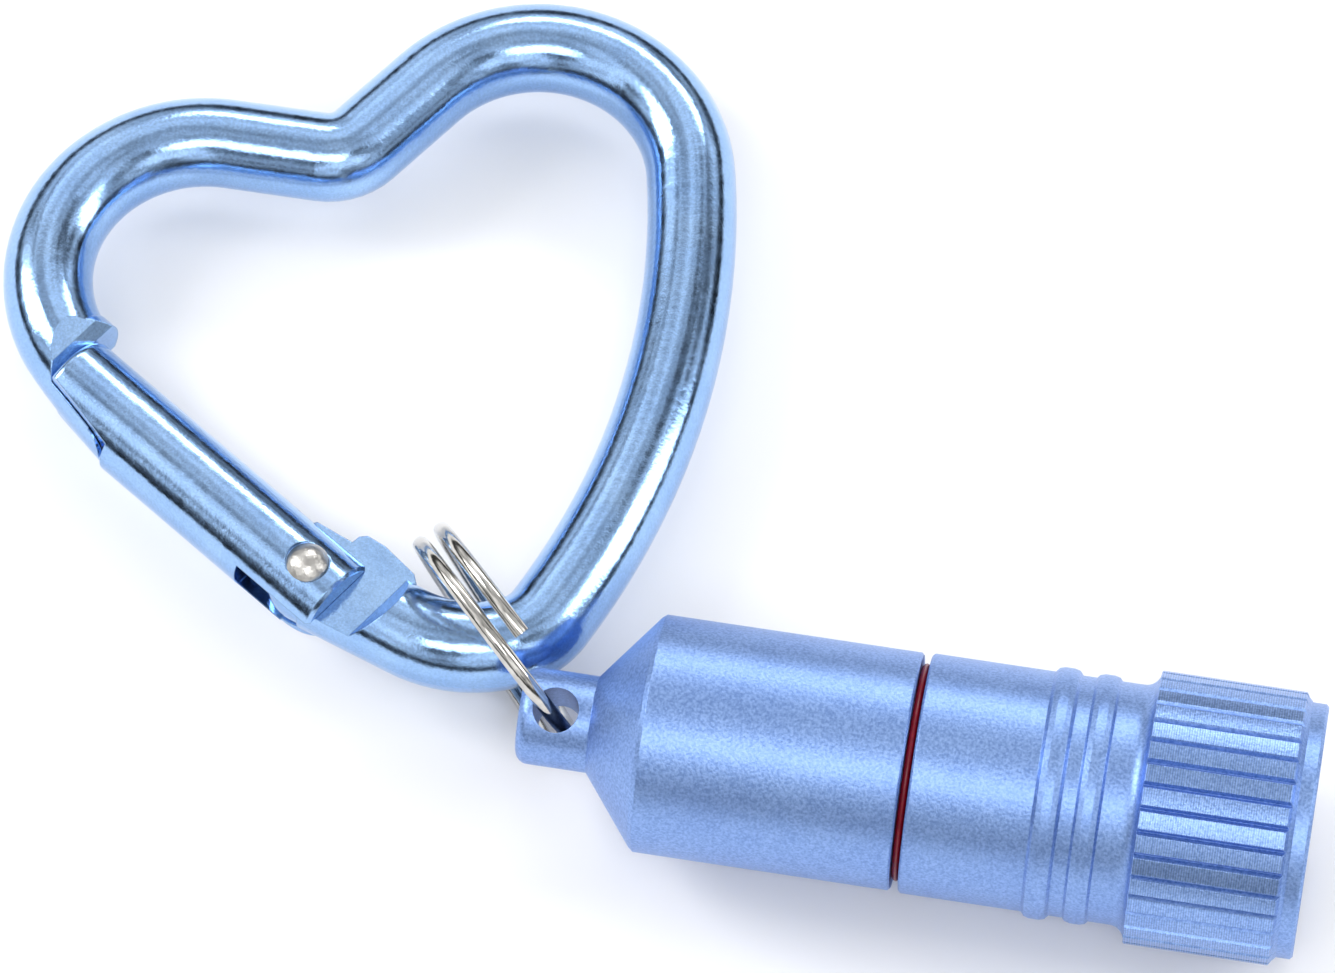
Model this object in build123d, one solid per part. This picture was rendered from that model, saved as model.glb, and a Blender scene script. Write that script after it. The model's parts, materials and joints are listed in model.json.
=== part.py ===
from build123d import *
import os
from math import acos, atan2, cos, degrees, radians, sin, sqrt

# Keychain flashlight: a twist-head torch hung by a split ring from a heart-shaped carabiner.
# Millimetres. The torch lies along +X with its lens forward, the carabiner lies flat, +Z is up.

# ------------------------------------------------------------------ carabiner
# Its own frame: X across the lobes, Y up the heart, Z through the bar.
HEART_AT = (-13.6, 29.2, 4.8)
HEART_TURN = 27.3
BAR_R = 2.5
LOBE_X = 9.8
LOBE_R = 8.6
NOTCH_R = 2.8
NOTCH_LOW = 4.99
SIDE_R = 44.4
TIP_Y = -23.05
TIP_R = 3.67
HIP_R = 7.3
HIP_ANGLE = 47
HINGE_RUN = 6.3
NOSE_SWEEP = 8.6

# Gate: its own frame starts at the rivet, X to the free end, Y out of the heart, Z up.
GATE_TURN = 119.1
GATE_R = 2.65
GATE_HINGE_END = -2.2
GATE_FREE_END = 18.4
GATE_EDGE = 0.45
POCKET_X = 13.5
POCKET_Y = 2.1
POCKET_END_Y = 1.25
GATE_OPEN_DEG = 38
EAR_SLOT = 2.3
EAR_SLOT_X = 3.2
LOW_EAR_R = 2.25
LIP_END_X = 13.85
LIP_ROUND_R = 1.15
SEAT_GAP = 0.05
SWING_GAP = 0.08
SEAT_BEVEL = ((0, 1.25), (0.65, 1.95), (2.1, 2.62))
CHEEK_R = 2.42
CHEEK_Y = -1.45
CHEEK_T = 1.3

TONGUE_Z = 1.1
TONGUE_R = 2.35
TONGUE_START = -4.25
CAM_R = 2.0
CAM_RISE = 1.2
CAM_END_DEG = GATE_OPEN_DEG + 17
RIVET_R = 0.75
RIVET_HEAD_R = 1.18
RIVET_SEAT_Z = 2.42
RIVET_HEAD_H = 0.62
RIVET_GAP = 0.04

PLUNGER_R = 1.35
PLUNGER_BORE_R = 1.42
PLUNGER_TIP_R = 0.6
PLUNGER_TIP_GAP = 0.1
PLUNGER_SHOULDER_X = 3.5
PLUNGER_BACK_X = 8.0
GATE_BORE_X = 14.5
GATE_SPRING_WIRE = 0.3
GATE_SPRING_R = 1.05

# ------------------------------------------------------------------ split ring
RING_AT = (-2.45, 4.0, 7.08)
RING_CHORD = 132
RING_LEAN = 13.9
RING_R = 6.6
RING_WIRE_R = 0.44
RING_PITCH = 1.375
RING_FROM = 64
RING_TO = 672

# ------------------------------------------------------------------ torch
# Its own frame: X along the axis from the tail end, towards the lens.
AXIS_Z = 7.45
LUG_R = 2.65
LUG_ROUND = 0.7
HOLE_X = 2.03
HOLE_R = 1.25
HOLE_ROLL = 13
CONE_X = 3.95
BODY_X = 6.85
BODY_R = 6.5
SHOULDER_X = 21.17
NECK_R = 5.6
NECK_END_X = 26.0

# The head turns by TWIST_DEG on its thread to come home, and so advances by TRAVEL.
THREAD_PITCH = 0.75
TWIST_DEG = 190
TRAVEL = THREAD_PITCH * TWIST_DEG / 360
HEAD_X = SHOULDER_X + TRAVEL + 0.084
CONTACT_GAP = 0.024
CELL_BORE_R = 4.6
CELL_BORE_X = 7.0
SLEEVE_R = 4.52
SLEEVE_X = 11.0

HEAD_R = 6.55
BEADS = ((29.1, 6.86, 0.75), (31.3, 6.80, 0.70))
GRIP_X = 34.04
GRIP_END_X = 41.98
GRIP_R = 7.45
FLARE_R = 0.85
FLUTES = 36
FLUTE_DEPTH = 0.28
FLUTE_WIDTH = 0.36
BEZEL_X = 42.3
BEZEL_R = 6.95
NOSE_X = 43.2
WINDOW_R = 5.0
LENS_R = 5.7
LENS_T = 1.1
SEAL_T = 0.6
MODULE_R = 5.3

CELLS = 4
CELL_R = 3.95
CELL_T = 3.6
STACK_X = 11.4

LED_R = 2.5
LED_X = 32.6
LED_FLANGE_T = 1.0
LED_FLANGE_R = 2.9
LED_TIP_X = 39.8
CUP_X = 33.7


def ang(dx, dy):
    """Angle of a direction, in degrees."""
    return degrees(atan2(dy, dx))


def polar(radius, angle):
    """Point at a radius and an angle in degrees."""
    return (radius * cos(radians(angle)), radius * sin(radians(angle)))


# ------------------------------------------------------------------ derived places
def side_centre():
    """Centre of the right side's large arc, which the lobe and the tip both touch from inside."""
    run = sqrt(LOBE_X**2 + TIP_Y**2)
    to_lobe = SIDE_R - LOBE_R
    to_tip = SIDE_R - TIP_R
    along = (to_lobe**2 - to_tip**2 + run**2) / (2 * run)
    off = sqrt(to_lobe**2 - along**2)
    ux, uy = -LOBE_X / run, TIP_Y / run
    return (LOBE_X + ux * along + uy * off, uy * along - ux * off)


SIDE_AT = side_centre()
NOTCH_AT = (0, NOTCH_LOW + NOTCH_R)
HIP_AT = (0, TIP_Y - TIP_R + HIP_R)
HIP_END = (-HIP_R * sin(radians(HIP_ANGLE)), HIP_AT[1] - HIP_R * cos(radians(HIP_ANGLE)))
RIVET_AT = (
    HIP_END[0] - HINGE_RUN * cos(radians(HIP_ANGLE)),
    HIP_END[1] + HINGE_RUN * sin(radians(HIP_ANGLE)),
)
HEART = Location(HEART_AT, (0, 0, HEART_TURN))
GATE = Location((RIVET_AT[0], RIVET_AT[1], 0), (0, 0, GATE_TURN))
HIP_RUN_DEG = 180 - HIP_ANGLE - GATE_TURN
TORCH = Location((0, 0, AXIS_Z))


# ------------------------------------------------------------------ small helpers
def slab(x0, x1, y0, y1, z0, z1):
    """Box between two corners."""
    centre = Location(((x0 + x1) / 2, (y0 + y1) / 2, (z0 + z1) / 2))
    return centre * Box(x1 - x0, y1 - y0, z1 - z0)


def turned(points):
    """Solid of revolution about X from (x, radius) points."""
    return revolve(make_face(Polyline(*points, close=True)), Axis.X)


def rod(x0, x1, radius):
    """Round bar along X."""
    return Location(((x0 + x1) / 2, 0, 0), (0, 90, 0)) * Cylinder(radius, x1 - x0)


def tube(x0, x1, outer, inner):
    """Round tube along X."""
    return rod(x0, x1, outer) - rod(x0 - 1, x1 + 1, inner)


def torus_x(x, radius, wire):
    """Ring of round section about X."""
    return Location((x, 0, 0), (0, 90, 0)) * Torus(radius, wire)


def coil(radius, wire, length, turns):
    """Compression spring along Z from 0, its wire lying inside the given length."""
    path = Helix((length - 2 * wire) / turns, length - 2 * wire, radius)
    bent = sweep(Plane(origin=path @ 0, z_dir=path % 0) * Circle(wire), path=path, is_frenet=True)
    return Location((0, 0, wire)) * bent


# ------------------------------------------------------------------ carabiner pieces
def heart_centreline():
    """Centreline of the bar from the rivet round the tip, right side and lobes to the nose."""
    side_x, side_y = SIDE_AT
    tip_turn = ang(-side_x, TIP_Y - side_y)
    lobe_turn = ang(LOBE_X - side_x, -side_y)
    apart = sqrt(LOBE_X**2 + NOTCH_AT[1] ** 2)
    leave = ang(-LOBE_X, NOTCH_AT[1]) - degrees(acos((LOBE_R + NOTCH_R) / apart))
    run = Line(RIVET_AT, HIP_END)
    hip = CenterArc(HIP_AT, HIP_R, 270 - HIP_ANGLE, HIP_ANGLE)
    tip = CenterArc((0, TIP_Y), TIP_R, -90, tip_turn + 90)
    side = CenterArc(SIDE_AT, SIDE_R, tip_turn, lobe_turn - tip_turn)
    right = CenterArc((LOBE_X, 0), LOBE_R, lobe_turn, leave - lobe_turn)
    notch = CenterArc(NOTCH_AT, NOTCH_R, leave - 180, -2 * (leave - 90))
    left = CenterArc((-LOBE_X, 0), LOBE_R, 180 - leave, leave - lobe_turn)
    falls = Line(right @ 1, notch @ 0)
    rises = Line(notch @ 1, left @ 0)
    nose = CenterArc((-side_x, side_y), SIDE_R, 180 - lobe_turn, NOSE_SWEEP)
    return Wire([run, hip, tip, side, right, falls, notch, rises, left, nose])


def cam_radius(angle):
    """Distance from the rivet to the cam face, at an angle in degrees clockwise of closed."""
    return CAM_R + CAM_RISE * radians(angle)


def tongue_outline():
    """Outline of the flat tongue in the gate's frame: cam, round end and shoulders."""
    cam = Spline(*[polar(cam_radius(a), -a) for a in range(CAM_END_DEG, -1, -11)])
    detent = Line(cam @ 1, polar(CAM_R, 18))
    rise = Line(detent @ 1, polar(TONGUE_R, 36))
    round_end = CenterArc((0, 0), TONGUE_R, 36, 54 + HIP_RUN_DEG)
    outer_end = (round_end @ 1) + Vector(*polar(-TONGUE_START, 180 + HIP_RUN_DEG))
    root = ((TONGUE_START - 1.2, 0.6), (TONGUE_START - 1.2, -3.1))
    pad = ((-4.3, -3.9), (-1.95, -4.05), (-0.8, -3.85), (-0.5, -3.5), (-0.45, -3.0), (0.3, -2.85))
    back = Polyline(round_end @ 1, outer_end, *root, *pad, cam @ 0)
    return make_face([cam, detent, rise, round_end, back])


def pocket_y(x):
    """Height of the gate's slanted flat at a place along the gate."""
    slope = (POCKET_END_Y - POCKET_Y) / (GATE_FREE_END - POCKET_X)
    return POCKET_Y + slope * (x - POCKET_X)


def below_pocket(end_x):
    """Room for the gate under the lip, as far as an end plane."""
    top = ((LIP_END_X - 3, pocket_y(LIP_END_X - 3) + SEAT_GAP), (end_x, pocket_y(end_x) + SEAT_GAP))
    room = Polyline(*top, (end_x, -8), (LIP_END_X - 3, -8), close=True)
    return extrude(make_face(room), 8, both=True)


def carabiner_body():
    """Heart-shaped bar with a flat tongue at the hinge and a seat and lip at the nose."""
    path = heart_centreline()
    bar = sweep(Plane(origin=path @ 0, z_dir=path % 0) * Circle(BAR_R), path=path)
    in_gate = GATE.inverse() * bar

    # Flats above and below the tongue, running out up a ramp into the round bar.
    ramp = ((TONGUE_START, TONGUE_Z), (TONGUE_START - 1.15, BAR_R + 0.2), (6, BAR_R + 0.2))
    wedge = make_face(Plane.XZ * Polyline((6, TONGUE_Z), *ramp, close=True))
    flat = extrude(wedge, 8, both=True)
    in_gate -= flat
    in_gate -= mirror(flat, Plane.XY)
    in_gate -= slab(-1.2, 6, -6, 6, -BAR_R - 1, BAR_R + 1)
    plate = extrude(tongue_outline(), TONGUE_Z, both=True)
    round_side = Sphere(TONGUE_R) + Location((0, 0, 0), (0, 0, HIP_RUN_DEG)) * rod(-9, 0, TONGUE_R)
    in_gate += plate & (round_side + slab(-9, 6, -6, 0, -2, 2))

    # Nose: the bar stops at the seat, and past it only the lip over the gate's pocket is left.
    seat_x = GATE_FREE_END + SEAT_GAP
    corner_r = sqrt(GATE_FREE_END**2 + POCKET_END_Y**2)
    cheek = rod(seat_x - 0.5, seat_x + CHEEK_T, CHEEK_R)
    cheek = fillet(cheek.edges().filter_by(GeomType.CIRCLE).sort_by(Axis.X)[-1], CHEEK_T / 3)
    in_gate += Location((0, CHEEK_Y, 0)) * cheek
    in_gate -= below_pocket(seat_x)
    in_gate -= below_pocket(seat_x + 2) & Cylinder(corner_r + SWING_GAP, 12)
    steps = [(seat_x + x, z) for x, z in SEAT_BEVEL]
    over = ((steps[-1][0], 4), (seat_x, 4))
    bevel = extrude(make_face(Plane.XZ * Polyline(*steps, *over, close=True)), 8, both=True)
    in_gate -= bevel
    in_gate -= mirror(bevel, Plane.XY)
    tip = slab(LIP_END_X - 4, LIP_END_X + LIP_ROUND_R, 0, 6, -3, 3)
    round_tip = Location((LIP_END_X + LIP_ROUND_R, 3, 0), (90, 0, 0)) * Cylinder(LIP_ROUND_R, 8)
    in_gate -= tip - round_tip

    in_gate -= Cylinder(RIVET_R + RIVET_GAP, 12)
    return GATE * in_gate


def gate():
    """Round gate, forked over the tongue (lower ear rounded), bored, and flat under the lip."""
    body = rod(GATE_HINGE_END, GATE_FREE_END, GATE_R)
    ends = body.edges().filter_by(GeomType.CIRCLE)
    body = fillet(ends.sort_by(Axis.X)[-1], GATE_EDGE)
    body = chamfer(body.edges().filter_by(GeomType.CIRCLE).sort_by(Axis.X)[0], 0.2)
    half = EAR_SLOT / 2
    body -= slab(GATE_HINGE_END - 1, EAR_SLOT_X, -4, 4, -half, half)
    end_x = GATE_FREE_END + 1
    flat = ((POCKET_X, POCKET_Y), (end_x, pocket_y(end_x)), (end_x, 4), (POCKET_X, 4))
    body -= extrude(make_face(Polyline(*flat, close=True)), 4, both=True)
    body -= slab(GATE_HINGE_END - 1, 0, -4, 4, -4, 0) - Cylinder(LOW_EAR_R, 12)
    body -= rod(EAR_SLOT_X - 0.5, GATE_BORE_X, PLUNGER_BORE_R)
    body -= Cylinder(RIVET_R + RIVET_GAP, 12)
    for side in (1, -1):
        seat = Location((0, 0, side * (RIVET_SEAT_Z + 1))) * Cylinder(RIVET_HEAD_R + 0.07, 2)
        body -= seat
    return GATE * body


def gate_rivet():
    """Rivet with a low dome on each end."""
    under = RIVET_SEAT_Z + 0.02
    height = RIVET_HEAD_H - 0.02
    ball_r = (RIVET_HEAD_R**2 + height**2) / (2 * height)
    ball = Location((0, 0, under + height - ball_r)) * Sphere(ball_r)
    head = ball & slab(-2, 2, -2, 2, under, under + 2)
    shank = Cylinder(RIVET_R, 2 * RIVET_SEAT_Z + 0.2)
    return GATE * (shank + head + mirror(head, Plane.XY))


def gate_plunger():
    """Stepped plunger whose round tip bears on the cam."""
    tip_x = CAM_R + PLUNGER_TIP_GAP
    body = rod(PLUNGER_SHOULDER_X, PLUNGER_BACK_X, PLUNGER_R)
    body += rod(tip_x + PLUNGER_TIP_R, PLUNGER_SHOULDER_X, PLUNGER_TIP_R)
    body += Location((tip_x + PLUNGER_TIP_R, 0, 0)) * Sphere(PLUNGER_TIP_R)
    return GATE * body


def gate_spring():
    """Coil between the plunger and the blind end of the gate's bore."""
    length = GATE_BORE_X - PLUNGER_BACK_X - 0.04
    spring = coil(GATE_SPRING_R, GATE_SPRING_WIRE / 2, length, 9)
    return GATE * Location((PLUNGER_BACK_X + 0.02, 0, 0), (0, 90, 0)) * spring


# ------------------------------------------------------------------ split ring
def ring_frame():
    """Plane of the ring: x points from the ring's centre to the lug hole, z along its axis."""
    chord = Vector(cos(radians(RING_CHORD)), sin(radians(RING_CHORD)), 0)
    lean = radians(RING_LEAN)
    side = Vector(-chord.Y, chord.X, 0)
    axis = side * cos(lean) - Vector(0, 0, 1) * sin(lean)
    return Plane(origin=RING_AT, x_dir=-chord, z_dir=axis)


def split_ring():
    """Open coil of round wire, a little over one and a half turns."""
    start = Plane.XY.rotated((0, 0, RING_FROM))
    start.origin = (0, 0, -RING_PITCH * (1 - (RING_FROM - 180) / 360))
    path = Helix(RING_PITCH, RING_PITCH * (RING_TO - RING_FROM) / 360, RING_R)
    wire = sweep(
        Plane(origin=path @ 0, z_dir=path % 0) * Circle(RING_WIRE_R), path=path, is_frenet=True
    )
    return ring_frame().location * start.location * wire


# ------------------------------------------------------------------ torch casing
def rear_barrel():
    """Tail lug with its cross hole, cone, barrel and threaded neck, bored for the cells."""
    lug_end = ThreePointArc(
        (0, LUG_R - LUG_ROUND),
        (LUG_ROUND * 0.293, LUG_R - LUG_ROUND * 0.293),
        (LUG_ROUND, LUG_R),
    )
    skin = Polyline(
        (LUG_ROUND, LUG_R),
        (CONE_X, LUG_R),
        (BODY_X, BODY_R - 0.2),
        (BODY_X + 0.25, BODY_R),
        (SHOULDER_X - 0.12, BODY_R),
        (SHOULDER_X, BODY_R - 0.12),
        (SHOULDER_X, NECK_R - 0.1),
        (HEAD_X, NECK_R - 0.1),
        (HEAD_X, NECK_R - 0.45),
        (HEAD_X + 0.5, NECK_R - 0.45),
        (HEAD_X + 0.5, NECK_R),
        (NECK_END_X - 0.3, NECK_R),
        (NECK_END_X, NECK_R - 0.3),
        (NECK_END_X, CELL_BORE_R),
        (CELL_BORE_X, CELL_BORE_R),
        (CELL_BORE_X - 0.8, 0),
        (0, 0),
        (0, LUG_R - LUG_ROUND),
    )
    body = revolve(make_face([lug_end, skin]), Axis.X)
    hole = Location((HOLE_X, 0, 0), (HOLE_ROLL, 0, 0)) * Cylinder(HOLE_R, 4 * LUG_R)
    return TORCH * (body - hole)


def neck_o_ring():
    """Red sealing ring at the foot of the neck."""
    return TORCH * torus_x((SHOULDER_X + HEAD_X) / 2, NECK_R + 0.125, 0.215)


def bead_points(centre, radius, half):
    """Corners of one raised bead on the head."""
    rise = radius - HEAD_R
    return [
        (centre - half, HEAD_R),
        (centre - half + rise * 0.6, radius - 0.08),
        (centre - 0.25, radius),
        (centre + 0.25, radius),
        (centre + half - rise * 0.6, radius - 0.08),
        (centre + half, HEAD_R),
    ]


def flute_cutter():
    """One V-groove along the grip."""
    root = GRIP_R - FLUTE_DEPTH
    crest = GRIP_R + 0.3
    half = FLUTE_WIDTH / 2 * (crest - root) / FLUTE_DEPTH
    vee = Polyline((0, root), (half, crest), (-half, crest), close=True)
    groove = extrude(make_face(Plane.YZ * vee), GRIP_END_X + 0.2 - GRIP_X + 0.6)
    return Location((GRIP_X - 0.6, 0, 0)) * groove


def head_shell():
    """Front casing: smooth skirt, two beads, fluted grip and bezel, open at both ends."""
    outer = [(HEAD_X, HEAD_R - 0.12), (HEAD_X + 0.12, HEAD_R)]
    for centre, radius, half in BEADS:
        outer += bead_points(centre, radius, half)
    outer += [(GRIP_X - FLARE_R, HEAD_R)]
    flare = CenterArc((GRIP_X - FLARE_R, HEAD_R + FLARE_R), FLARE_R, -90, 90)
    grip = [
        (GRIP_X, HEAD_R + FLARE_R),
        (GRIP_X + 0.05, GRIP_R),
        (GRIP_END_X - 0.05, GRIP_R),
        (GRIP_END_X + 0.1, GRIP_R - 0.25),
        (BEZEL_X, BEZEL_R + 0.02),
        (BEZEL_X, BEZEL_R),
        (NOSE_X - 0.15, BEZEL_R),
        (NOSE_X, BEZEL_R - 0.15),
        (NOSE_X, WINDOW_R + 0.5),
        (BEZEL_X + 0.25, WINDOW_R),
        (BEZEL_X, WINDOW_R),
        (BEZEL_X, LENS_R + 0.03),
        (CUP_X, LENS_R + 0.03),
        (CUP_X, MODULE_R + 0.03),
        (NECK_END_X + 0.45, MODULE_R + 0.03),
        (NECK_END_X + 0.45, NECK_R + 0.05),
        (HEAD_X + 0.7, NECK_R + 0.05),
        (HEAD_X + 0.7, NECK_R + 0.4),
        (HEAD_X, NECK_R + 0.4),
        (HEAD_X, HEAD_R - 0.12),
    ]
    face = make_face([Polyline(*outer), flare, Polyline(*grip)])
    shell = revolve(face, Axis.X)
    flute = flute_cutter()
    turn = 360 / FLUTES
    cutters = [Location((0, 0, 0), (turn * (i + 0.5), 0, 0)) * flute for i in range(FLUTES)]
    return TORCH * (shell - cutters)


# ------------------------------------------------------------------ torch optics and contacts
def lens():
    """Clear window behind the bezel."""
    return TORCH * turned(
        (
            (BEZEL_X - LENS_T, 0),
            (BEZEL_X - LENS_T, LENS_R - 0.15),
            (BEZEL_X - LENS_T + 0.15, LENS_R),
            (BEZEL_X - 0.16, LENS_R),
            (BEZEL_X - 0.01, LENS_R - 0.15),
            (BEZEL_X - 0.01, 0),
        )
    )


def lens_gasket():
    """Flat sealing ring behind the window."""
    back = BEZEL_X - LENS_T - SEAL_T
    return TORCH * tube(back, BEZEL_X - LENS_T - 0.01, LENS_R, LENS_R - 0.75)


def reflector():
    """Bright cup round the lamp, with a parabolic inside and a rim that seats in the head."""
    front = BEZEL_X - LENS_T - SEAL_T - 0.01
    throat = LED_R + 0.08
    mouth = LENS_R - 0.75
    curve = Spline(
        *[
            (CUP_X + (front - CUP_X) * ((r - throat) / (mouth - throat)) ** 2, r)
            for r in [throat + (mouth - throat) * i / 5 for i in range(6)]
        ]
    )
    skin = Polyline(
        curve @ 1,
        (front, LENS_R),
        (front - 0.9, LENS_R),
        (front - 0.9, mouth + 0.15),
        (CUP_X + 1.6, throat + 1.75),
        (CUP_X + 0.9, throat + 1.0),
        (CUP_X, throat + 1.0),
        curve @ 0,
    )
    return TORCH * revolve(make_face([curve, skin]), Axis.X)


def led_lamp():
    """Five-millimetre lamp: flange, clear body and domed tip."""
    dome_x = LED_TIP_X - LED_R
    skin = Polyline(
        (dome_x, LED_R),
        (LED_X + LED_FLANGE_T, LED_R),
        (LED_X + LED_FLANGE_T, LED_FLANGE_R),
        (LED_X, LED_FLANGE_R),
        (LED_X, 0),
        (LED_TIP_X, 0),
    )
    dome = CenterArc((dome_x, 0), LED_R, 0, 90)
    return TORCH * revolve(make_face([skin, dome]), Axis.X)


def led_holder():
    """Insulating plug that carries the lamp, with a channel for each lead."""
    body = rod(NECK_END_X + 0.95, LED_X - 0.01, MODULE_R)
    body -= rod(NECK_END_X, LED_X + 1, 0.42)
    body -= Location((0, 0, 1.27)) * rod(LED_X - 2.5, LED_X + 1, 0.42)
    body -= slab(LED_X - 3.3, LED_X - 2.5, -0.42, 0.42, 0.85, MODULE_R + 1)
    body -= slab(NECK_END_X, LED_X - 2.5, -0.42, 0.42, MODULE_R - 0.7, MODULE_R + 1)
    return TORCH * body


def led_anode_lead():
    """Straight lead from the lamp to the centre contact."""
    lead = rod(NECK_END_X + 0.96, LED_X - 1.4, 0.25)
    return TORCH * lead


def led_cathode_lead():
    """Lead bent out to the holder's edge and back to the ground ring."""
    edge = MODULE_R - 0.35
    path = FilletPolyline(
        (LED_X - 0.03, 0, 1.27),
        (LED_X - 2.9, 0, 1.27),
        (LED_X - 2.9, 0, edge),
        (NECK_END_X + 0.96, 0, edge),
        radius=0.35,
    )
    wire = sweep(Plane(origin=path @ 0, z_dir=path % 0) * Circle(0.25), path=path)
    return TORCH * wire


def ground_ring():
    """Brass ring that meets the neck when the head is screwed home."""
    return TORCH * tube(NECK_END_X + TRAVEL + CONTACT_GAP, NECK_END_X + 0.94, MODULE_R, 3.4)


def anode_contact():
    """Brass button between the centre lead and the front cell."""
    foot = STACK_X + CELLS * CELL_T + 0.01
    body = rod(foot, NECK_END_X + 0.94, 1.4)
    body += rod(NECK_END_X + 0.6, NECK_END_X + 0.94, 2.6)
    return TORCH * body


# ------------------------------------------------------------------ cells
def cell_pieces(index):
    """Can, sealing gasket and cap of one button cell."""
    back = STACK_X + index * CELL_T
    front = back + CELL_T - 0.01
    inner = CELL_R - 0.25
    can = rod(back, front - 0.5, CELL_R)
    can -= rod(back + 0.25, front, inner)
    cap = rod(back + 1.9, front, CELL_R - 0.85)
    cap = fillet(cap.edges().sort_by(Axis.X)[-1], 0.25)
    cap += rod(back + 0.27, front - 0.75, CELL_R - 0.6)
    seal = tube(back + 0.27, front - 0.42, inner - 0.01, CELL_R - 0.59)
    return TORCH * can, TORCH * seal, TORCH * cap


def battery_sleeve():
    """Insulating tube that keeps the cells in line."""
    return TORCH * tube(SLEEVE_X, NECK_END_X - 0.3, SLEEVE_R, CELL_R + 0.08)


def tail_spring():
    """Spring between the barrel's floor and the rear cell."""
    length = STACK_X - CELL_BORE_X - 0.06
    return TORCH * Location((CELL_BORE_X + 0.02, 0, 0), (0, 90, 0)) * coil(2.6, 0.25, length, 4)


# ------------------------------------------------------------------ the assembly
PIECES = {
    "carabiner_body": carabiner_body,
    "gate": gate,
    "gate_rivet": gate_rivet,
    "gate_plunger": gate_plunger,
    "gate_spring": gate_spring,
}
LOOSE = {
    "split_ring": split_ring,
    "rear_barrel": rear_barrel,
    "neck_o_ring": neck_o_ring,
    "head_shell": head_shell,
    "lens": lens,
    "lens_gasket": lens_gasket,
    "reflector": reflector,
    "led_lamp": led_lamp,
    "led_holder": led_holder,
    "led_anode_lead": led_anode_lead,
    "led_cathode_lead": led_cathode_lead,
    "ground_ring": ground_ring,
    "anode_contact": anode_contact,
    "battery_sleeve": battery_sleeve,
    "tail_spring": tail_spring,
}


def assembly():
    """Every piece by name, in the torch's frame, before the origin is moved."""
    made = {name: HEART * make() for name, make in PIECES.items()}
    made |= {name: make() for name, make in LOOSE.items()}
    for index in range(CELLS):
        for name, piece in zip(("can", "gasket", "cap"), cell_pieces(index)):
            made[f"cell_{index + 1}_{name}"] = piece
    return made


def origin_shift(made):
    """Move that puts the origin under the middle of the whole object."""
    box = Compound(children=[Compound(piece.solids()) for piece in made.values()]).bounding_box()
    middle = box.center()
    return Location((-middle.X, -middle.Y, -box.min.Z))


MADE = assembly()
SHIFT = origin_shift(MADE)
os.makedirs("parts", exist_ok=True)
for node, shape in MADE.items():
    solids = (SHIFT * shape).solids()
    export_step(solids[0] if len(solids) == 1 else Compound(solids), f"parts/{node}.step")
print("origin moved by", tuple(SHIFT.position))
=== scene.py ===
import json
import math

import bmesh
import bpy
from mathutils import Matrix, Vector

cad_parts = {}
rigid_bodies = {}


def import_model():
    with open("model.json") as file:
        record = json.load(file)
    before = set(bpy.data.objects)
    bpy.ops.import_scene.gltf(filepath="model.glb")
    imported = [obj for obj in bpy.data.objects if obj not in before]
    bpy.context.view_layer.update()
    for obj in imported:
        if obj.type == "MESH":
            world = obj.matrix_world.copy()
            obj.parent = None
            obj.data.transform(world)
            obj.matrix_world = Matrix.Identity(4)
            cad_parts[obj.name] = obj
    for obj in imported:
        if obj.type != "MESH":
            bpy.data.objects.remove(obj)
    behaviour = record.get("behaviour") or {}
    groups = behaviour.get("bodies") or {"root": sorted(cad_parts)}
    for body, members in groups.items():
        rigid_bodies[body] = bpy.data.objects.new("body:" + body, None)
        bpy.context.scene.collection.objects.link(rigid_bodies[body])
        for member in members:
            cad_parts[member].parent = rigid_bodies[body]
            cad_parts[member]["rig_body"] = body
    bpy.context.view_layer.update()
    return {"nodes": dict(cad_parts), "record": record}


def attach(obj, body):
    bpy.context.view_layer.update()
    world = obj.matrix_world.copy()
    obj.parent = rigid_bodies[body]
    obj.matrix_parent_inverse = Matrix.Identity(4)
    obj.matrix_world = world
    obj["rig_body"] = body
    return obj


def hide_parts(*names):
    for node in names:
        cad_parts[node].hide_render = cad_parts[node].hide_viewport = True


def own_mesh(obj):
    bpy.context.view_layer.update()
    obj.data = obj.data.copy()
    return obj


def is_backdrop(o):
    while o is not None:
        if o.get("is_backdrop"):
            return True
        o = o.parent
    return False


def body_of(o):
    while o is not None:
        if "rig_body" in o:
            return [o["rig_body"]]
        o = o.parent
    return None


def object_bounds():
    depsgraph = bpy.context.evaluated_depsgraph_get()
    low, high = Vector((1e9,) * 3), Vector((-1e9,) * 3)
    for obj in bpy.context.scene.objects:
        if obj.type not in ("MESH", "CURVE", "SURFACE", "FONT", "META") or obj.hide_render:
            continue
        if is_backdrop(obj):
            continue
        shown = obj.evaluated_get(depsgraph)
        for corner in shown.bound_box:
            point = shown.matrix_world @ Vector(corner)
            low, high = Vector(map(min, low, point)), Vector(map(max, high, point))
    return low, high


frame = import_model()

NODES = frame["nodes"]
MM = 0.001


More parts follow.
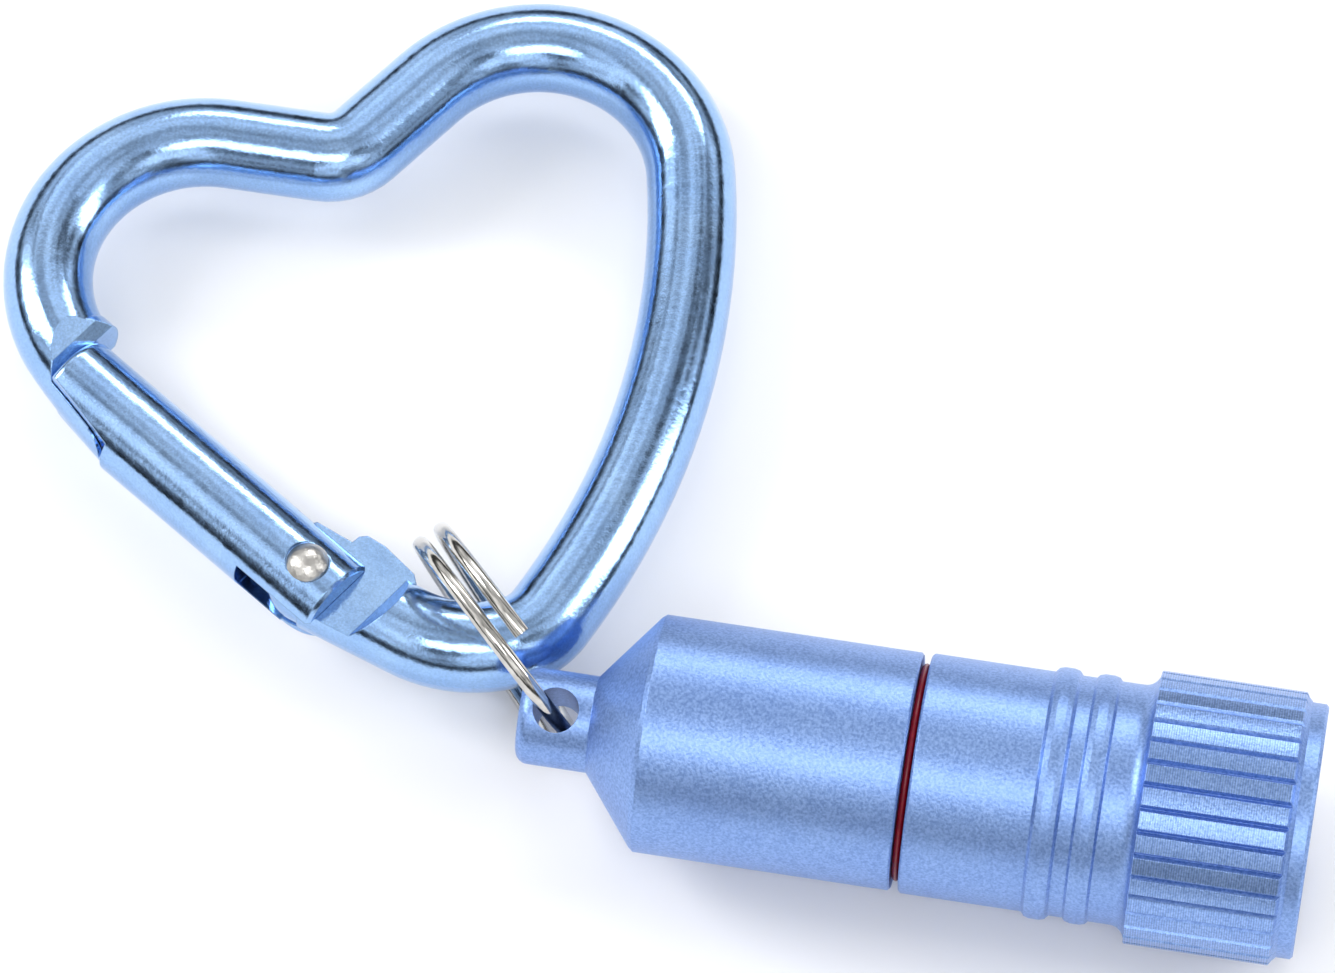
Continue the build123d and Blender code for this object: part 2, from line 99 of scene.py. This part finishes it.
# ---------------------------------------------------------------- node helpers
class Tree:
    """A small wrapper that makes and links shader nodes."""

    def __init__(self, tree):
        self.nodes = tree.nodes
        self.links = tree.links
        self.nodes.clear()

    def add(self, kind, values=None, **settings):
        node = self.nodes.new(kind)
        for key, value in settings.items():
            setattr(node, key, value)
        for key, value in (values or {}).items():
            self.put(node.inputs[key], value)
        return node

    def put(self, socket, value):
        """Link a socket to another one, or set its value."""
        if isinstance(value, bpy.types.NodeSocket):
            self.links.new(value, socket)
        else:
            socket.default_value = value

    def math(self, operation, *values):
        node = self.add("ShaderNodeMath", operation=operation)
        for socket, value in zip(node.inputs, values):
            self.put(socket, value)
        return node.outputs[0]

    def noise(self, vector, scale, detail, roughness=0.5):
        """Noise from 0 to 1, with its scale in cells per unit: a metre, on a piece."""
        node = self.add("ShaderNodeTexNoise", {"Vector": vector, "Scale": scale})
        node.inputs["Detail"].default_value = detail
        node.inputs["Roughness"].default_value = roughness
        return node.outputs["Fac"]

    def ramp(self, value, stops):
        """Colour ramp from (position, colour) stops; a colour may be one grey number."""
        node = self.add("ShaderNodeValToRGB", {"Fac": value})
        marks = node.color_ramp.elements
        while len(marks) < len(stops):
            marks.new(0.5)
        for mark, (place, colour) in zip(marks, stops):
            mark.position = place
            grey = isinstance(colour, float)
            mark.color = (colour, colour, colour, 1) if grey else (*colour, 1)
        return node.outputs["Color"]

    def mix(self, factor, a, b, blend="MIX"):
        node = self.add("ShaderNodeMix", data_type="RGBA", blend_type=blend)
        self.put(node.inputs["Factor"], factor)
        self.put(node.inputs["A"], a)
        self.put(node.inputs["B"], b)
        return node.outputs["Result"]

    def place(self):
        """Position in the piece's own frame, in metres."""
        return self.add("ShaderNodeTexCoord").outputs["Object"]

    def bump(self, height, depth, strength, normal=None):
        """Surface normal over a height of 0 to 1 that is a depth in millimetres."""
        values = {"Height": height, "Distance": depth * MM, "Strength": strength}
        if normal is not None:
            values["Normal"] = normal
        return self.add("ShaderNodeBump", values).outputs["Normal"]

    def broken_edge(self, radius):
        """Surface normal with its sharp edges rounded over."""
        node = self.add("ShaderNodeBevel", {"Radius": radius}, samples=BREAK_SAMPLES)
        return node.outputs["Normal"]

    def shader(self, **values):
        """The material's Principled shader, linked to the output."""
        node = self.add("ShaderNodeBsdfPrincipled")
        for key, value in values.items():
            self.put(node.inputs[key.replace("_", " ")], value)
        self.add("ShaderNodeOutputMaterial", {"Surface": node.outputs["BSDF"]})
        return node


def material(name):
    made = bpy.data.materials.new(name)
    made.use_nodes = True
    return made, Tree(made.node_tree)


def linear(value):
    """Linear light from an sRGB screen value of 0 to 255."""
    v = value / 255
    return v / 12.92 if v <= 0.04045 else ((v + 0.055) / 1.055) ** 2.4


def rgb(r, g, b):
    """Linear colour from screen values of 0 to 255."""
    return linear(r), linear(g), linear(b)


# ---------------------------------------------------------------- places on the object
RIVET = Vector((-17.98088, -11.47836, 4.8)) * MM
RIVET_REACH = 4 * MM
TORCH_Y = -18.6724 * MM
TORCH_Z = 7.45 * MM
TAIL_X = -4.8958 * MM
GRIP = (TAIL_X + 34.04 * MM, TAIL_X + 41.98 * MM)
GRIP_R = 7.45 * MM
GRIP_EDGE = 0.05 * MM
RIB_TOP_R = GRIP_R - 0.06 * MM


# ---------------------------------------------------------------- materials
# Noise scales, in cells per metre.
BLAST_SCALE = 6500
PIT_SCALE = 15000
DRIFT_SCALE = 300
WOBBLE_SCALE = 500
DENT_SCALE = 260
STREAK_SCALE = 1300
SPECK_SCALE = 6500
PLATING_SCALE = 900
PEEN_SCALE = 3200
RUBBER_SCALE = 3000
HAZE_SCALE = 1500
FILM_SCALE = 1200

# Turning lines on the grip: pitch, how far they wander in phase, and how much smoother it is.
TURNING_PITCH = 0.135 * MM
WOBBLE = 0.9
GRIP_POLISH = 0.10

# Radius of the sharp edges' rounding.
SATIN_BREAK = 0.07 * MM
GLOSS_BREAK = 0.1 * MM
BREAK_SAMPLES = 4


def torch_place(t, where):
    """Distance along the torch and distance from its axis."""
    parts = t.add("ShaderNodeSeparateXYZ", {"Vector": where})
    x = parts.outputs["X"]
    y = t.math("SUBTRACT", parts.outputs["Y"], TORCH_Y)
    z = t.math("SUBTRACT", parts.outputs["Z"], TORCH_Z)
    radius = t.math("SQRT", t.math("ADD", t.math("MULTIPLY", y, y), t.math("MULTIPLY", z, z)))
    return x, radius


def between(t, value, low, high, soft):
    """One inside a range, zero outside it, with soft ends."""
    up = t.add("ShaderNodeMapRange", {"Value": value, "From Min": low - soft, "From Max": low})
    down = t.add("ShaderNodeMapRange", {"Value": value, "From Min": high, "From Max": high + soft})
    return t.math("MULTIPLY", up.outputs[0], t.math("SUBTRACT", 1.0, down.outputs[0]))


def satin_anodised():
    """Bead-blasted, then anodised: speckle in colour and bump; grip turning lines in bump, with
    painted highlight and shade along them.
    """
    made, t = material("satin_anodised")
    where = t.place()
    x, radius = torch_place(t, where)
    grain = t.noise(where, BLAST_SCALE, 2, 0.55)
    fine = t.noise(where, PIT_SCALE, 2, 0.6)
    cloud = t.noise(where, DRIFT_SCALE, 3)
    base = t.ramp(grain, [(0.34, rgb(118, 149, 204)), (0.66, rgb(151, 181, 232))])
    drift = t.ramp(cloud, [(0.3, rgb(240, 243, 250)), (0.7, rgb(255, 255, 255))])
    colour = t.mix(0.7, base, drift, "MULTIPLY")
    on_grip = t.math(
        "MULTIPLY",
        between(t, x, *GRIP, GRIP_EDGE),
        t.math("GREATER_THAN", radius, RIB_TOP_R),
    )
    wobble = t.math("MULTIPLY", t.noise(where, WOBBLE_SCALE, 2), WOBBLE)
    phase = t.math("MULTIPLY_ADD", x, 2 * math.pi / TURNING_PITCH, wobble)
    lines = t.math("MULTIPLY", t.math("SINE", phase), on_grip)
    # Painted highlight and shade: the grip's colour is lightened along the turning lines and
    # darkened between them, in place of light caught by the grooves.
    shade = t.ramp(t.math("MULTIPLY_ADD", lines, 0.5, 0.5), [(0.0, 0.80), (1.0, 1.12)])
    colour = t.mix(on_grip, colour, t.mix(1.0, colour, shade, "MULTIPLY"))
    polish = t.math("MULTIPLY", on_grip, GRIP_POLISH)
    rough = t.math("SUBTRACT", t.math("MULTIPLY_ADD", grain, 0.14, 0.35), polish)
    blasted = t.bump(grain, 0.018, 0.8, t.broken_edge(SATIN_BREAK))
    pitted = t.bump(fine, 0.006, 0.5, blasted)
    normal = t.bump(lines, 0.006, 0.6, pitted)
    t.shader(Base_Color=colour, Metallic=1.0, Roughness=rough, Normal=normal)
    return made


def gloss_anodised():
    """Tumbled, then anodised: shiny, with uneven streaks and small pits."""
    made, t = material("gloss_anodised")
    where = t.place()
    cloud = t.noise(where, DENT_SCALE, 3, 0.6)
    streak = t.noise(where, STREAK_SCALE, 4, 0.65)
    fine = t.noise(where, SPECK_SCALE, 3, 0.65)
    tint = t.ramp(cloud, [(0.25, rgb(146, 184, 234)), (0.75, rgb(164, 199, 242))])
    shade = t.ramp(fine, [(0.35, 0.78), (0.65, 1.0)])
    colour = t.mix(0.8, tint, shade, "MULTIPLY")
    rough = t.math("MULTIPLY_ADD", streak, 0.26, 0.02)
    soft = t.bump(cloud, 0.06, 0.5, t.broken_edge(GLOSS_BREAK))
    uneven = t.bump(streak, 0.03, 0.5, soft)
    normal = t.bump(fine, 0.005, 0.5, uneven)
    t.shader(Base_Color=colour, Metallic=1.0, Roughness=rough, Normal=normal)
    return made


def plated(name, low, high, roughness):
    """Bright plated metal with faint clouding."""
    made, t = material(name)
    cloud = t.noise(t.place(), PLATING_SCALE, 4, 0.6)
    colour = t.ramp(cloud, [(0.3, low), (0.7, high)])
    rough = t.math("MULTIPLY_ADD", cloud, roughness, roughness * 0.5)
    normal = t.bump(cloud, 0.002, 0.4)
    t.shader(Base_Color=colour, Metallic=1.0, Roughness=rough, Normal=normal)
    return made


def nickel():
    """Bright plating, with the rivet's peened domes rougher than the ring's wire."""
    made, t = material("nickel")
    where = t.place()
    off = t.add("ShaderNodeVectorMath", {0: where, 1: tuple(RIVET)}, operation="DISTANCE")
    on_rivet = t.math("LESS_THAN", off.outputs["Value"], RIVET_REACH)
    cloud = t.noise(where, PLATING_SCALE, 4, 0.6)
    peened = t.noise(where, PEEN_SCALE, 3, 0.6)
    colour = t.ramp(cloud, [(0.3, rgb(176, 174, 170)), (0.7, rgb(214, 212, 208))])
    rough = t.math("MULTIPLY_ADD", on_rivet, 0.2, t.math("MULTIPLY_ADD", cloud, 0.12, 0.05))
    dents = t.math("MULTIPLY", peened, on_rivet)
    normal = t.bump(dents, 0.05, 0.8, t.bump(cloud, 0.002, 0.4))
    t.shader(Base_Color=colour, Metallic=1.0, Roughness=rough, Normal=normal)
    return made


def dull(name, low, high, roughness):
    """Rubber or plastic with a fine grain."""
    made, t = material(name)
    grain = t.noise(t.place(), RUBBER_SCALE, 3, 0.6)
    colour = t.ramp(grain, [(0.3, low), (0.7, high)])
    normal = t.bump(grain, 0.01, 0.5)
    t.shader(Base_Color=colour, Roughness=roughness, Normal=normal)
    return made


def clear(name, colour, roughness, ior):
    """Clear glass or resin with slight haze."""
    made, t = material(name)
    haze = t.noise(t.place(), HAZE_SCALE, 3)
    rough = t.math("MULTIPLY_ADD", haze, roughness, roughness * 0.4)
    shader = t.shader(Base_Color=(*colour, 1), Roughness=rough, IOR=ior)
    shader.inputs["Transmission Weight"].default_value = 1.0
    return made


def thin_film():
    """Milky, slightly see-through tube."""
    made, t = material("clear_sleeve")
    grain = t.noise(t.place(), FILM_SCALE, 3)
    colour = t.ramp(grain, [(0.3, rgb(214, 214, 200)), (0.7, rgb(236, 236, 226))])
    t.shader(Base_Color=colour, Roughness=0.35, Alpha=0.45)
    return made


FINISH = {
    "satin_anodised": satin_anodised(),
    "gloss_anodised": gloss_anodised(),
    "nickel": nickel(),
    "steel": plated("steel", rgb(168, 168, 170), rgb(204, 204, 206), 0.28),
    "bright_reflector": plated("bright_reflector", rgb(228, 228, 230), rgb(242, 242, 244), 0.05),
    "tinned_wire": plated("tinned_wire", rgb(186, 188, 190), rgb(216, 218, 220), 0.30),
    "brass": plated("brass", rgb(196, 158, 84), rgb(224, 188, 112), 0.22),
    "cell_steel": plated("cell_steel", rgb(192, 192, 190), rgb(220, 220, 218), 0.22),
    "red_rubber": dull("red_rubber", rgb(112, 0, 14), rgb(150, 0, 22), 0.35),
    "black_rubber": dull("black_rubber", rgb(20, 20, 21), rgb(34, 34, 36), 0.6),
    "black_plastic": dull("black_plastic", rgb(24, 24, 26), rgb(38, 38, 41), 0.4),
    "cell_gasket": dull("cell_gasket", rgb(196, 190, 160), rgb(220, 214, 186), 0.45),
    "clear_window": clear("clear_window", rgb(244, 248, 250), 0.02, 1.5),
    "lamp_resin": clear("lamp_resin", rgb(250, 250, 244), 0.05, 1.53),
    "clear_sleeve": thin_film(),
}

SLOT_OF = {row["node"]: row["material_slot"] for row in frame["record"]["subparts"]}
for name, node in NODES.items():
    node.data.materials.clear()
    node.data.materials.append(FINISH[SLOT_OF[name]])


# ---------------------------------------------------------------- springs and seal
GATE_ANGLE = math.radians(146.4)
GATE_WAY = Vector((math.cos(GATE_ANGLE), math.sin(GATE_ANGLE), 0))
TAIL = Vector((TAIL_X, TORCH_Y, TORCH_Z))
TORCH_WAY = Vector((1, 0, 0))

# A coil's mesh, its ground end faces (in wire radii from the end coil's middle), and the turns
# at each end that lie closed and then open out.
COIL_STEPS = 28
COIL_SIDES = 12
GROUND = 0.55
CLOSED_TURNS = 0.75
OPENING_TURNS = 0.5

# The seal's mesh, and the height of its moulding line.
SEAL_STEPS = 120
SEAL_SIDES = 16
FLASH = 0.02 * MM


def mesh_piece(name, rows, closed, slot, node):
    """Tube through rings of points, in place of a CAD node and on its body."""
    grid = bmesh.new()
    rings = [[grid.verts.new(point) for point in row] for row in rows]
    count = len(rings)
    for i in range(count if closed else count - 1):
        here, there = rings[i], rings[(i + 1) % count]
        for j in range(len(here)):
            k = (j + 1) % len(here)
            grid.faces.new((here[j], here[k], there[k], there[j]))
    if not closed:
        grid.faces.new(rings[0])
        grid.faces.new(rings[-1])
    bmesh.ops.recalc_face_normals(grid, faces=grid.faces)
    mesh = bpy.data.meshes.new(name)
    grid.to_mesh(mesh)
    grid.free()
    for face in mesh.polygons:
        face.use_smooth = True
    piece = bpy.data.objects.new(name, mesh)
    bpy.context.scene.collection.objects.link(piece)
    mesh.materials.append(FINISH[slot])
    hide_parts(node)
    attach(piece, body_of(NODES[node])[0])
    return piece


def coil_rows(start, way, length, radius, wire, turns):
    """Rings of a compression spring with one closed coil and a ground face at each end."""
    side = way.orthogonal().normalized()
    other = way.cross(side)
    closed_pitch = 2 * wire
    inset = wire * GROUND
    open_pitch = (length - 2 * inset - 2 * closed_pitch) / (turns - 2)
    heights = [inset]
    for i in range(turns * COIL_STEPS):
        turn = (i + 0.5) / COIL_STEPS
        from_end = min(turn, turns - turn)
        opened = min(max(from_end - CLOSED_TURNS, 0.0) / OPENING_TURNS, 1.0)
        pitch = closed_pitch + (open_pitch - closed_pitch) * opened
        heights.append(heights[-1] + pitch / COIL_STEPS)
    stretch = (length - 2 * inset) / (heights[-1] - heights[0])
    rows = []
    for i, height in enumerate(heights):
        angle = 2 * math.pi * i / COIL_STEPS
        out = side * math.cos(angle) + other * math.sin(angle)
        middle = inset + (height - heights[0]) * stretch
        row = []
        for j in range(COIL_SIDES):
            around = 2 * math.pi * j / COIL_SIDES
            up = min(max(middle + wire * math.sin(around), 0), length)
            row.append(start + way * up + out * (radius + wire * math.cos(around)))
        rows.append(row)
    return rows


def seal_rows(middle, way, radius, wire):
    """Rings of a moulded sealing ring with a fine flash line round the outside."""
    side = way.orthogonal().normalized()
    other = way.cross(side)
    rows = []
    for i in range(SEAL_STEPS):
        angle = 2 * math.pi * i / SEAL_STEPS
        out = side * math.cos(angle) + other * math.sin(angle)
        row = []
        for j in range(SEAL_SIDES):
            turn = 2 * math.pi * j / SEAL_SIDES
            thick = wire + (FLASH if j == 0 else 0)
            outwards = radius + thick * math.cos(turn)
            row.append(middle + out * outwards + way * thick * math.sin(turn))
        rows.append(row)
    return rows


GATE_SPRING_AT = RIVET + GATE_WAY * 8.02 * MM
GATE_SPRING_L = 6.46 * MM
GATE_SPRING_R = 1.05 * MM
GATE_SPRING_WIRE_R = 0.15 * MM
GATE_SPRING_TURNS = 11

TAIL_SPRING_AT = TAIL + TORCH_WAY * 7.02 * MM
TAIL_SPRING_L = 4.34 * MM
TAIL_SPRING_R = 2.6 * MM
TAIL_SPRING_WIRE_R = 0.25 * MM
TAIL_SPRING_TURNS = 6

SEAL_AT = TAIL + TORCH_WAY * 21.41 * MM
SEAL_R = 5.725 * MM
SEAL_WIRE_R = 0.213 * MM

rows = coil_rows(
    GATE_SPRING_AT,
    GATE_WAY,
    GATE_SPRING_L,
    GATE_SPRING_R,
    GATE_SPRING_WIRE_R,
    GATE_SPRING_TURNS,
)
gate_coil = mesh_piece("gate_spring_coil", rows, False, SLOT_OF["gate_spring"], "gate_spring")
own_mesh(gate_coil)

rows = coil_rows(
    TAIL_SPRING_AT,
    TORCH_WAY,
    TAIL_SPRING_L,
    TAIL_SPRING_R,
    TAIL_SPRING_WIRE_R,
    TAIL_SPRING_TURNS,
)
tail_coil = mesh_piece("tail_spring_coil", rows, False, SLOT_OF["tail_spring"], "tail_spring")
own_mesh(tail_coil)

rows = seal_rows(SEAL_AT, TORCH_WAY, SEAL_R, SEAL_WIRE_R)
mesh_piece("neck_seal", rows, True, SLOT_OF["neck_o_ring"], "neck_o_ring")


# ---------------------------------------------------------------- stage
FLOOR_HALF = 0.6
FLOOR_SCALE = 60

SKY_SCALE = 3.2
SKY_STRENGTH = 1.25
SKY_BANDS = [
    # height from 0, straight down, to 1, straight up; brightness
    (0.0, 0.9),
    (0.49, 0.85),
    (0.52, 0.02),
    (0.59, 0.03),
    (0.67, 0.6),
    (0.84, 0.75),
    (1.0, 0.5),
]
SKY_PATCHES = [(0.38, 0.12), (0.48, 0.9), (0.60, 1.7)]

MIDDLE = Vector((0.005, -0.004, 0.006))
PANEL_DISTANCE = 1.0
PANELS = [
    # name, direction from the middle, width and height in metres, brightness
    ("front", (0.02, -0.50, 0.86), 0.55, 0.30, 4.2),
    ("left", (-0.80, 0.10, 0.60), 0.34, 0.60, 6.5),
    ("back", (0.10, 0.80, 0.62), 0.70, 0.16, 6.0),
    ("right", (0.85, 0.15, 0.50), 0.30, 0.60, 5.0),
]


def floor():
    """Plain white table."""
    mesh = bpy.data.meshes.new("floor")
    half = FLOOR_HALF
    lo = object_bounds()[0].z
    corners = [(-half, -half, lo), (half, -half, lo), (half, half, lo), (-half, half, lo)]
    mesh.from_pydata(corners, [], [(0, 1, 2, 3)])
    table = bpy.data.objects.new("floor", mesh)
    bpy.context.scene.collection.objects.link(table)
    made, t = material("floor_white")
    grain = t.noise(t.place(), FLOOR_SCALE, 2)
    colour = t.ramp(grain, [(0.2, rgb(246, 246, 248)), (0.8, rgb(252, 252, 252))])
    t.shader(Base_Color=colour, Roughness=0.7)
    mesh.materials.append(made)
    table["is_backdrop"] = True


def softbox(name, towards, width, height, glow):
    """Rectangular studio light, in a direction from the object's middle and facing it."""
    data = bpy.data.lights.new(name, "AREA")
    data.shape = "RECTANGLE"
    data.size = width
    data.size_y = height
    data.energy = glow * math.pi * width * height
    lamp = bpy.data.objects.new(name, data)
    bpy.context.scene.collection.objects.link(lamp)
    place = MIDDLE + Vector(towards).normalized() * PANEL_DISTANCE
    lamp.location = place
    lamp.rotation_euler = (MIDDLE - place).to_track_quat("-Z", "Y").to_euler()


def studio():
    """Room seen in the polished metal: pale above, a dark band round the horizon."""
    world = bpy.data.worlds.new("studio")
    bpy.context.scene.world = world
    world.use_nodes = True
    t = Tree(world.node_tree)
    way = t.add("ShaderNodeTexCoord").outputs["Generated"]
    height = t.add("ShaderNodeSeparateXYZ", {"Vector": way}).outputs["Z"]
    shade = t.ramp(t.math("MULTIPLY_ADD", height, 0.5, 0.5), SKY_BANDS)
    patches = t.ramp(t.noise(way, SKY_SCALE, 4, 0.6), SKY_PATCHES)
    room = t.mix(1.0, shade, patches, "MULTIPLY")
    light = t.add("ShaderNodeBackground", {"Color": room, "Strength": SKY_STRENGTH})
    t.add("ShaderNodeOutputWorld", {"Surface": light.outputs[0]})


floor()
studio()
for panel in PANELS:
    softbox(*panel)


# ---------------------------------------------------------------- camera
EYE = Vector((0.0397587, -0.2405901, 0.4930541))
HEADING = math.radians(9.370)
TILT = math.radians(26.298)
LENS_MM = 266.32
SENSOR_MM = 36


def camera():
    """Long lens above the near side, leaning back from straight down by the tilt."""
    right = Vector((math.cos(HEADING), math.sin(HEADING), 0))
    ahead = Vector((-math.sin(HEADING), math.cos(HEADING), 0))
    up = ahead * math.cos(TILT) + Vector((0, 0, math.sin(TILT)))
    back = -ahead * math.sin(TILT) + Vector((0, 0, math.cos(TILT)))
    data = bpy.data.cameras.new("camera")
    data.lens = LENS_MM
    data.sensor_width = SENSOR_MM
    data.clip_start = 0.01
    data.clip_end = 10
    eye = bpy.data.objects.new("camera", data)
    bpy.context.scene.collection.objects.link(eye)
    turn = Matrix((right, up, back)).transposed().to_4x4()
    eye.matrix_world = Matrix.Translation(EYE) @ turn
    bpy.context.scene.camera = eye


camera()
bpy.context.scene.view_settings.view_transform = "Standard"
